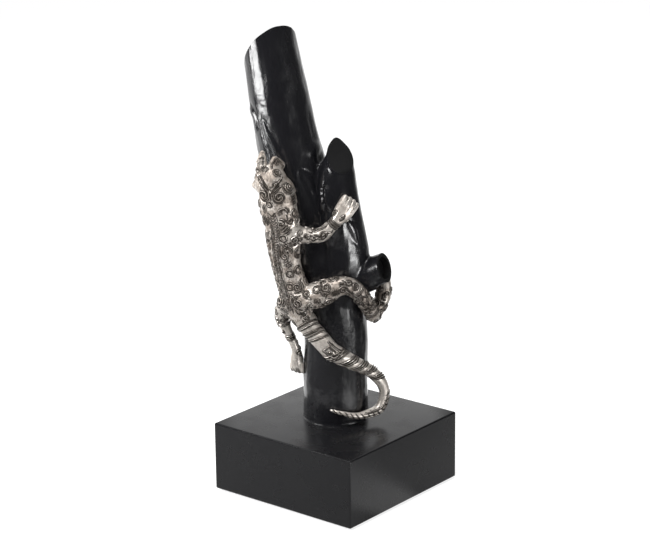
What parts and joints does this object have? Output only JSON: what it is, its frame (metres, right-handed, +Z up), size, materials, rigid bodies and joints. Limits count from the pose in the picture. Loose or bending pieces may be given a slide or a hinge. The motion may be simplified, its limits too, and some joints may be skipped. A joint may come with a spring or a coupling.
{
  "type": "cat figurine",
  "caption": "Cast silver big cat climbing a forked branch of black lacquered wood that stands on a square black wooden block, with felt below, for a shelf or table.",
  "frame": {"origin": "middle of the felt's underside, below the middle of the block", "axes": "+Z up; X and Y along the block's sides; the branch is turned 39.1 degrees about Z, so that the picture looks at the block's corner between +X and -Y"},
  "size_m": [0.13, 0.13, 0.3535],
  "materials": {
    "black_lacquer": "wood under satin black lacquer",
    "black_bark": "barked branch under glossy black lacquer, matt on the sawn faces",
    "old_silver": "antique silver plate on cast metal, dark in the recesses",
    "zinc_steel": "zinc plated",
    "felt": "pressed felt"
  },
  "bodies": {
    "root": {"base_block": "black_lacquer", "felt_pad": "felt", "branch": "black_bark", "branch_screw_1": "zinc_steel", "branch_screw_2": "zinc_steel", "screw_washer_1": "zinc_steel", "screw_washer_2": "zinc_steel", "belly_stud_1": "zinc_steel", "belly_stud_2": "zinc_steel", "body_casting": "old_silver", "foreleg_right": "old_silver", "foreleg_left": "old_silver", "hindleg_right": "old_silver", "hindleg_left": "old_silver", "tail": "old_silver"}
  },
  "joints": []
}
